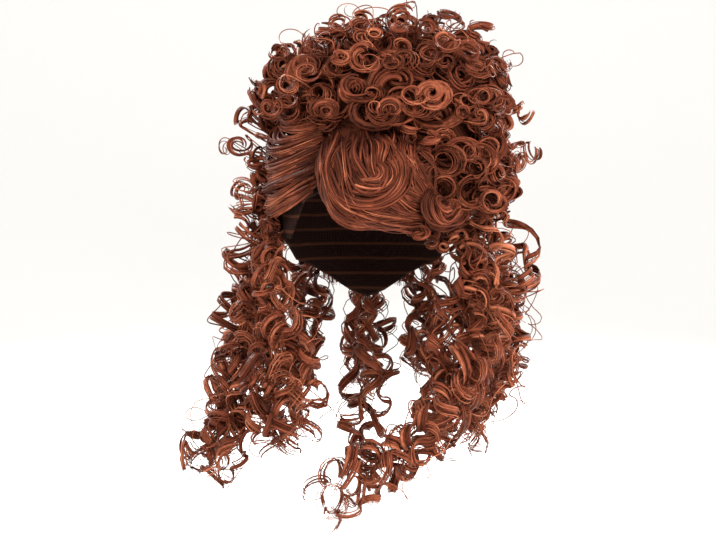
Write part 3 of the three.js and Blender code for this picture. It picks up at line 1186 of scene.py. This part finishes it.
@dataclass
class TempleCurls(HairPiece):
    """The full bunch of curls over the left temple."""

    curls: int = 44
    azimuths: Span = (-30.0, 152.0)
    elevations: Span = (-56.0, 56.0)
    radius: Span = (8.5, 17.0)
    lift: Span = (2.0, 18.0)
    strays: int = 14
    stray_azimuths: Span = (10.0, 140.0)
    stray_elevations: Span = (-45.0, 45.0)
    stray_radius: Span = (8.0, 14.0)
    stray_lift: Span = (15.0, 22.0)
    # Curls above the bunch and behind it
    groups: tuple[HeadCurls, ...] = (
        HeadCurls(LOOSENED, 9, azimuth=(18, 56), depth=(14, 38), radius=(8, 13), lift=(8, 18)),
        HeadCurls(LOOSENED, 12, azimuth=(86, 118), depth=(40, 98), radius=(8, 13), lift=(3, 12)),
    )
    springs: Springs = Springs(
        locks=2,
        strays=3,
        places=(
            (80, 58, (118, -32, -108), (121, -34, -172)),
            (95, 68, (124, -8, -124), (117, -16, -200)),
            (64, 78, (97, -58, -124), (104, -60, -192)),
        ),
    )

    def core(self) -> bpy.types.Object:
        """Makes the hair under the bunch, painted dark as shade."""
        return TeasedCore(f"{self.node}_core", TEMPLE_PAD, rim=-90).build()

    def lay(self, strands: StrandSet, rng: np.random.Generator) -> None:
        """Lays curls over the pad's outer half, their strays, the curls round them and springs.

        Args:
            strands: The strands to add to.
            rng: The seeded random source.
        """
        (first, last), (low, high) = self.azimuths, self.elevations
        for i in range(self.curls):
            azimuth = first + (last - first) * ((i * GOLDEN) % 1)
            elevation = low + (high - low) * (i + 0.5) / self.curls
            seat = TEMPLE_PAD.seat(azimuth, elevation)
            BUNCHED.lay(strands, rng, *seat, self.radius, self.lift)
        for _ in range(self.strays):
            azimuth = rng.uniform(*self.stray_azimuths)
            seat = TEMPLE_PAD.seat(azimuth, rng.uniform(*self.stray_elevations))
            WISP.lay(strands, rng, *seat, self.stray_radius, self.stray_lift)
        for group in self.groups:
            group.lay(strands, rng)
        self.springs.lay(self.node, strands, rng)


@dataclass
class CombedHair(HairPiece):
    """Hair combed close to the cap, in clumps that run between guide locks."""

    clumps: int = 40
    per_clump: int = 10
    points: int = 21
    sway: float = 1.6  # how far a clump bends to each side
    sways: float = 1.5  # and how often along it
    bends: Span = (0.4, 1.3)  # the share of the sway that one clump takes
    pace: Span = (0.7, 1.3)  # and the share of its waves
    heave: float = 0.5  # how far it rises and falls with a bend
    spread: float = 3.0  # how far a clump's strands lie apart, side by side
    layer: float = 1.0  # and one above the other
    waist: float = 0.35  # how much a clump narrows and widens
    waists: Span = (0.8, 1.2)
    within: Span = (0.1, 0.9)  # where a clump may lie in its share of the width
    rise: float = 5.0  # how far clumps lie over the guide locks
    uneven: Span = (-2.5, 3.0)  # and how far one lies under or over that
    stagger: float = 0.06  # share of its length by which a clump starts late or ends early
    look: LockLook = COMBED_LOCK
    core_inset: float = 3.0
    core_merge: float = 0.02
    core_passes: int = 3
    core_smoothing: float = 0.4

    def core(self) -> bpy.types.Object:
        """Makes the hair under the strands, painted dark as shade, from the node's own form,
        smoothed and drawn in.

        Returns:
            The new object, in the scene.
        """
        work = bmesh.new()
        work.from_mesh(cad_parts[self.node].data)
        bmesh.ops.remove_doubles(work, verts=work.verts, dist=self.core_merge * MM)
        axes = {f"use_axis_{axis}": True for axis in "xyz"}
        for _ in range(self.core_passes):
            bmesh.ops.smooth_vert(work, verts=work.verts, factor=self.core_smoothing, **axes)
        work.normal_update()
        for vertex in work.verts:
            drawn = (vertex.co - vertex.normal * (self.core_inset * MM)) / MM
            vertex.co = Vector(HEAD.clear(np.array(drawn), OFF_CAP)) * MM
        return finished(work, f"{self.node}_core")

    def guides(self) -> np.ndarray:
        """Gives the guide locks as rows of points; each kind of hair has its own."""
        raise NotImplementedError

    def lay(self, strands: StrandSet, rng: np.random.Generator) -> None:
        """Lays clumps of strands side by side between the guide locks."""
        self.comb(strands, rng, self.guides(), self.clumps, self.sway)

    def comb(
        self,
        strands: StrandSet,
        rng: np.random.Generator,
        guides: np.ndarray,
        clumps: int,
        sway: float,
    ) -> None:
        """Combs clumps of strands between guide locks.

        Args:
            strands: The strands to add to.
            rng: The seeded random source.
            guides: Locks by points by x, y and z.
            clumps: How many clumps to lay.
            sway: How far a clump bends to each side.
        """
        smooth = np.stack([smooth_path(rows, self.points) for rows in guides])
        share = np.linspace(0, 1, self.points)
        slow, fast = (part * self.sways for part in self.pace)
        each = (self.per_clump, 1, 1)
        for i in range(clumps):
            place = (i + rng.uniform(*self.within)) / clumps * (len(smooth) - 1)
            lock = min(int(place), len(smooth) - 2)
            line = smooth[lock] + (smooth[lock + 1] - smooth[lock]) * (place - lock)
            late, early = rng.uniform(0, self.stagger, 2)
            line = along(late + (1 - late - early) * share, share, line)
            off = HEAD.off(line)
            across = unit(np.cross(off, np.gradient(line, axis=0)))
            bend = sway * rng.uniform(*self.bends) * wave(rng, share, slow, fast)[:, None]
            height = self.rise + rng.uniform(*self.uneven) + self.heave * bend
            line = line + across * bend + off * height
            beside = rng.normal(0, self.spread, each)
            above = rng.normal(0, self.layer, each)
            gather = (1 - self.waist) + self.waist * wave(rng, share, *self.waists)
            sideways = across[None] * beside * gather[None, :, None]
            paths = line[None] + sideways + off[None] * above
            strands.add(paths, across[None], *self.look.pick(rng, self.per_clump))


@dataclass(frozen=True)
class Roll:
    """Hair rolled round a middle at the front, in degrees and millimetres."""

    middle: Span  # x and z
    radii: Span  # innermost and outermost
    turn: Span  # where it starts and ends, counted from +X upwards
    lifts: Point  # off the cap's form at the start, half-way and at the end
    clumps: int
    tuck: float = 0.2  # share of the radius that the end winds in by
    bulge: float = 7.0  # how much further out the innermost lock stands
    rings: int = 6
    steps: int = 12

    def guides(self) -> np.ndarray:
        """Gives guide locks from the inside of the roll to the outside.

        Returns:
            Locks by points by x, y and z.
        """
        share = np.linspace(0, 1, self.steps)
        angle = np.radians(self.turn[0] + (self.turn[1] - self.turn[0]) * share)
        lift = np.interp(share, (0, 0.5, 1), self.lifts)
        locks = []
        for radius in np.linspace(*self.radii, self.rings):
            wound = radius * (1 - self.tuck * share**2)
            across = self.middle[0] + wound * np.cos(angle)
            height = self.middle[1] + wound * np.sin(angle)
            off = lift + self.bulge * (1 - radius / self.radii[1])
            locks.append(HEAD.front(across, height, off))
        return np.stack(locks)


@dataclass
class Fringe(CombedHair):
    """The fringe: it drops from the parting, rolls over and sweeps to a swirl and small curls."""

    root_z: float = -13.0
    lifts: tuple[float, ...] = (5.0, 19.0, 19.0, 13.0)  # at the root, belly, turn and tip
    edge: float = 0.15  # share of the lift at the first lock, where the roll turns in
    recess: float = 0.5  # and at the last locks, which lie behind the roll
    recessed: int = 3
    # Each guide lock as seen from the front: x of its root, x and z of its belly, turn and tip
    locks: tuple[tuple[float, ...], ...] = (
        (-25, -34, -48, -17, -77, 36, -90),
        (-25, -37, -50, -22, -83, 42, -94),
        (-18, -26, -47, -12, -79, 46, -91),
        (-9, -11, -44, 1, -71, 49, -87),
        (1, 6, -42, 14, -64, 51, -82),
        (11, 22, -39, 28, -59, 52, -79),
        (21, 36, -37, 42, -57, 53, -76),
        (29, 47, -37, 53, -58, 55, -74),
    )
    rolls: tuple[Roll, ...] = (
        Roll((1, -49), (8, 33), (118, 408), lifts=(8, 22, 17), clumps=18, tuck=0.12, bulge=4.0),
        Roll((61, -74), (3, 19), (130, 400), lifts=(13, 20, 14), clumps=13),
    )
    roll_sway: float = 2.0
    # Small curls beside the roll and where the sweep ends, from the front: x and z
    ends: tuple[Span, ...] = (
        (31, -24), (42, -34), (48, -49), (38, -95), (45, -90), (50, -98), (46, -105), (56, -109),
        (63, -100),
    )
    end_seat: float = 8.0
    end_radius: Span = (7.0, 10.0)
    end_lift: Span = (3.0, 8.0)

    def guides(self) -> np.ndarray:
        """Gives each lock's root, belly, turn and tip.

        Returns:
            Locks by points by x, y and z.
        """
        seen = np.array([(root, self.root_z, *rest) for root, *rest in self.locks])
        seen = seen.reshape(len(self.locks), len(self.lifts), 2)
        lifts = np.tile(self.lifts, (len(seen), 1))
        lifts[0] *= self.edge
        lifts[-self.recessed:] *= self.recess
        return HEAD.front(seen[..., 0], seen[..., 1], lifts)

    def lay(self, strands: StrandSet, rng: np.random.Generator) -> None:
        """Lays the swept locks, the roll and the swirl, and the small curls.

        Args:
            strands: The strands to add to.
            rng: The seeded random source.
        """
        super().lay(strands, rng)
        for roll in self.rolls:
            self.comb(strands, rng, roll.guides(), roll.clumps, self.roll_sway)
        for across, height in self.ends:
            seat = HEAD.front(across, height, self.end_seat)
            END_CURL.lay(strands, rng, seat, HEAD.off(seat), self.end_radius, self.end_lift)


@dataclass
class TempleSweep(CombedHair):
    """Hair combed back over the right temple, with curls that spring out behind it."""

    first: float = -30.0
    last: float = -111.0
    # Each guide lock's depth at the parting, half-way, where it hangs in a swag, and at the back,
    # and how far it stands off the cap's form at each
    locks: tuple[tuple[Point, Point], ...] = (
        ((14, 21, 12), (6, 17, 36)),
        ((22, 37, 26), (6, 14, 29)),
        ((34, 50, 42), (6, 11, 18)),
        ((45, 61, 55), (6, 9, 12)),
        ((56, 73, 67), (6, 7, 8)),
        ((64, 83, 79), (6, 6, 6)),
    )
    # Curls behind the sweep, inside its back end and below it, and loops that stand out of them
    groups: tuple[HeadCurls, ...] = (
        HeadCurls(SPRUNG, 12, azimuth=(-114, -84), depth=(44, 92), radius=(8, 13), lift=(6, 20)),
        HeadCurls(SPRUNG, 7, azimuth=(-110, -84), depth=(12, 36), radius=(9, 13), lift=(8, 24)),
        HeadCurls(SPRUNG, 12, azimuth=(-106, -64), depth=(86, 104), radius=(7, 11), lift=(2, 9)),
        HeadCurls(SLIM_LOOP, 9, azimuth=(-112, -90), depth=(24, 84), radius=(8, 14), lift=(18, 36)),
        HeadCurls(SLIM_LOOP, 8, azimuth=(-104, -84), depth=(20, 52), radius=(8, 13), lift=(38, 60)),
    )
    springs: Springs = Springs(
        locks=1,
        strays=1,
        places=(
            (-86, 60, (-96, -18, -98), (-101, -22, -152)),
            (-98, 76, (-103, -8, -132), (-122, -20, -204)),
        ),
    )

    def guides(self) -> np.ndarray:
        """Gives each lock's start, middle and end.

        Returns:
            Locks by points by x, y and z.
        """
        azimuth = np.array([self.first, (self.first + self.last) / 2, self.last])
        locks = [HEAD.point(azimuth, np.array(deep), np.array(off)) for deep, off in self.locks]
        return np.stack(locks)

    def lay(self, strands: StrandSet, rng: np.random.Generator) -> None:
        """Lays the combed hair, then the curls and springs round it.

        Args:
            strands: The strands to add to.
            rng: The seeded random source.
        """
        super().lay(strands, rng)
        for group in self.groups:
            group.lay(strands, rng)
        self.springs.lay(self.node, strands, rng)


@dataclass
class BackHair(CombedHair):
    """Hair combed up the back of the cap to the updo."""

    # Azimuth of each guide lock and the depth of its lower end
    locks: tuple[Span, ...] = (
        (113, 106), (135, 121), (158, 142), (180, 148), (202, 142), (225, 121), (247, 106),
    )
    top: float = 34.0
    off_head: float = 6.0

    def guides(self) -> np.ndarray:
        """Gives each lock's top, middle and lower end."""
        ends = [(azimuth, np.linspace(self.top, low, 3)) for azimuth, low in self.locks]
        return np.stack([HEAD.point(azimuth, depth, self.off_head) for azimuth, depth in ends])


@dataclass(frozen=True)
class WigCap:
    """The stretch cap: it keeps its CAD form, smoothed between its edges, with a net finish."""

    nodes: tuple[str, ...] = ("wig_cap_crown", "wig_cap_band")
    slot: str = "cap_net"
    merge: float = 0.01
    sharpest: float = 40.0  # degrees between facets that still shade as one surface

    def dress(self, net: bpy.types.Material) -> None:
        """Puts a smooth copy with the net finish in the place of each of the cap's nodes.

        Args:
            net: The net's material.
        """
        for node in self.nodes:
            work = bmesh.new()
            work.from_mesh(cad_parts[node].data)
            bmesh.ops.remove_doubles(work, verts=work.verts, dist=self.merge * MM)
            for edge in work.edges:
                edge.smooth = edge.calc_face_angle(math.pi) < math.radians(self.sharpest)
            wear(finished(work, f"{node}_net"), net, node, slot=self.slot)
            LOG.info("%s: dressed", node)


@dataclass(frozen=True)
class Studio:
    """The floor and backdrop, soft lights and the camera."""

    aim: Point = (-8.3, -80.0, -128.6)  # what is in the middle of the picture
    elevation: float = 2.0  # degrees
    floor_z: float = -356.0
    # These sizes are metres
    distance: float = 2.0
    floor_half: float = 4.0
    wall: float = 5.0
    curve: float = 1.8
    curve_steps: int = 16
    light_aim: Point = (0, 0, -0.1)
    # Light name, place, size and power in watts
    lights: tuple[tuple[str, Point, float, float], ...] = (
        ("key", (-0.9, -1.5, 0.9), 0.9, 34.0),
        ("fill", (1.2, -1.5, 0.5), 1.2, 46.0),
        ("back_left", (-0.9, 1.2, 0.9), 0.6, 24.0),
        ("back_right", (0.9, 1.2, 0.9), 0.6, 34.0),
    )
    sky: int = 0xFFFFFF
    sky_strength: float = 0.85

    def sweep(self, paper: bpy.types.Material) -> None:
        """Makes the floor, which curves up into a backdrop.

        Args:
            paper: The paper's material.
        """
        work = bmesh.new()
        bmesh.ops.create_grid(work, x_segments=1, y_segments=1, size=self.floor_half)
        bmesh.ops.translate(work, verts=work.verts, vec=(0, 0, self.floor_z * MM))
        crease = [edge for edge in work.edges if all(vertex.co.y > 0 for vertex in edge.verts)]
        raised = bmesh.ops.extrude_edge_only(work, edges=crease)["geom"]
        upper = [part for part in raised if isinstance(part, bmesh.types.BMVert)]
        bmesh.ops.translate(work, verts=upper, vec=(0, 0, self.wall))
        bmesh.ops.bevel(
            work,
            geom=crease,
            offset=self.curve,
            segments=self.curve_steps,
            profile=0.5,
            affect="EDGES",
            offset_type="OFFSET",
            material=-1,
        )
        floor = finished(work, "floor")
        floor.data.materials.append(paper)

    def light(self) -> None:
        """Places the soft lights and the pale surroundings."""
        target = Vector(self.light_aim)
        for name, place, size, power in self.lights:
            lamp = bpy.data.lights.new(name, "AREA")
            lamp.size = size
            lamp.energy = power
            holder = bpy.data.objects.new(name, lamp)
            holder.location = place
            holder.rotation_euler = (target - Vector(place)).to_track_quat("-Z", "Y").to_euler()
            bpy.context.scene.collection.objects.link(holder)
        world = bpy.data.worlds.new("studio")
        world.use_nodes = True
        tree = world.node_tree
        sky = {"Color": linear(self.sky), "Strength": self.sky_strength}
        feed(tree, tree.nodes["Background"], sky)
        bpy.context.scene.world = world
        bpy.context.scene.view_settings.view_transform = "Standard"

    def camera(self) -> None:
        """Places the camera in front of the face opening, with the photograph's framing."""
        lens = bpy.data.cameras.new("camera")
        lens.sensor_fit = "HORIZONTAL"
        lens.sensor_width = SENSOR_MM
        lens.lens = SENSOR_MM * self.distance / (IMAGE_WIDTH * MM_PER_PIXEL * MM)
        target = Vector(self.aim) * MM
        rise = math.radians(self.elevation)
        holder = bpy.data.objects.new("camera", lens)
        holder.location = target + Vector((0, -math.cos(rise), math.sin(rise))) * self.distance
        holder.rotation_euler = (target - holder.location).to_track_quat("-Z", "Y").to_euler()
        bpy.context.scene.collection.objects.link(holder)
        bpy.context.scene.camera = holder

    def build(self) -> None:
        """Makes the whole studio."""
        self.camera()
        self.sweep(StudioPaper().material())
        self.light()


# Ringlets: name, azimuth and depth of the seat, knee, tip, locks, strands in each, stray strands
RINGLETS = (
    ("right_ringlet_1", -66, 96, (-72, -66, -170), (-54, -84, -268), 5, 8, 3),
    ("right_ringlet_2", -82, 90, (-93, -36, -176), (-80, -82, -280), 5, 8, 3),
    ("right_ringlet_3", -97, 88, (-100, 2, -180), (-130, -52, -310), 5, 8, 4),
    ("right_ringlet_4", -112, 98, (-98, 40, -186), (-150, -14, -300), 4, 8, 5),
    ("left_ringlet_1", 61, 100, (74, -58, -176), (58, -76, -262), 5, 8, 3),
    ("left_ringlet_2", 72, 96, (96, -94, -202), (-36, -116, -328), 5, 8, 3),
    ("left_ringlet_3", 86, 88, (106, -36, -178), (82, -60, -278), 5, 8, 3),
    ("left_ringlet_4", 99, 86, (122, 4, -158), (102, -22, -252), 3, 8, 7),
    ("left_ringlet_5", 113, 98, (100, 42, -182), (94, 36, -282), 4, 8, 4),
    ("nape_ringlet_1", -148, 124, (-60, 82, -206), (-68, 80, -298), 3, 7, 3),
    ("nape_ringlet_2", 180, 138, (0, 92, -212), (-4, 92, -308), 3, 7, 3),
    ("nape_ringlet_3", 148, 124, (60, 82, -206), (66, 80, -300), 3, 7, 3),
    ("back_ringlet_1", -126, 62, (-97, 80, -136), (-118, 72, -228), 3, 7, 3),
    ("back_ringlet_2", -152, 62, (-54, 114, -138), (-58, 122, -240), 3, 7, 3),
    ("back_ringlet_3", 180, 62, (0, 124, -140), (-2, 134, -248), 3, 7, 3),
    ("back_ringlet_4", 152, 62, (54, 114, -138), (56, 122, -240), 3, 7, 3),
    ("back_ringlet_5", 126, 62, (97, 80, -136), (114, 72, -228), 3, 7, 3),
)

UPDO = (
    UpdoRow(
        "updo_lower_curls", low=-14, high=20, curls=66, rings=3, teased=22,
        extras=((20, (46, 252), (-12, 2), (2, 12)), (6, (-116, -70), (6, 24), (20, 32))),
        rosettes=17, rosette_level=11, loops=22, strays=12,
    ),
    UpdoRow(
        "updo_middle_curls", low=20, high=47, curls=44, teased=14,
        rosettes=13, rosette_level=34, loops=20, strays=16,
    ),
    UpdoRow(
        "updo_upper_curls", low=47, high=73, curls=26, lift=(0, 16), teased=8,
        rosettes=6, rosette_level=56, rosette_lift=(2, 8),
        loops=22, loop_lift=(16, 34), strays=12,
    ),
    UpdoRow(
        "updo_topknot", low=73, high=90, curls=9, rings=1, lift=(-8, 8),
        loops=13, loop_lift=(10, 28), strays=5,
    ),
)


def hair_pieces() -> list[HairPiece]:
    """Lists every piece of hair in the order in which it is dressed.

    Returns:
        The updo's rows, the fringe, temples and back hair, and the ringlets.
    """
    combed = [
        Fringe(
            "fringe", clumps=38, per_clump=9, points=22, sway=3.0, sways=1.6,
            stagger=0.18, look=FRINGE_LOCK,
        ),
        TempleSweep("right_temple_sweep", clumps=32, sway=2.2),
        TempleCurls("left_temple_curls"),
        BackHair("back_hair", clumps=40, per_clump=8, spread=4.0),
    ]
    return [*UPDO, *combed, *(Ringlet(*row) for row in RINGLETS)]


def main() -> None:
    """Builds the studio and dresses the wig piece by piece."""
    logging.basicConfig(level=logging.INFO, format="%(message)s")
    Studio().build()
    WigCap().dress(StretchNet().material())
    fibre = AuburnFibre()
    finish = {depth: fibre.material(depth) for depth in Depth}
    # The dome of teased hair under the updo, painted dark as shade
    dome = TeasedCore("updo_core", UPDO_PAD, rim=-14).build()
    wear(dome, finish[Depth.CORE], *(row.node for row in UPDO))
    LOG.info("updo_core: %d faces", len(dome.data.polygons))
    total = 0
    for number, piece in enumerate(hair_pieces()):
        faces = piece.dress(finish, np.random.default_rng([SEED, number]))
        total += faces
        LOG.info("%s: %d faces", piece.node, faces)
    LOG.info("hair in all: %d faces", total)


if __name__ == "__main__":
    main()
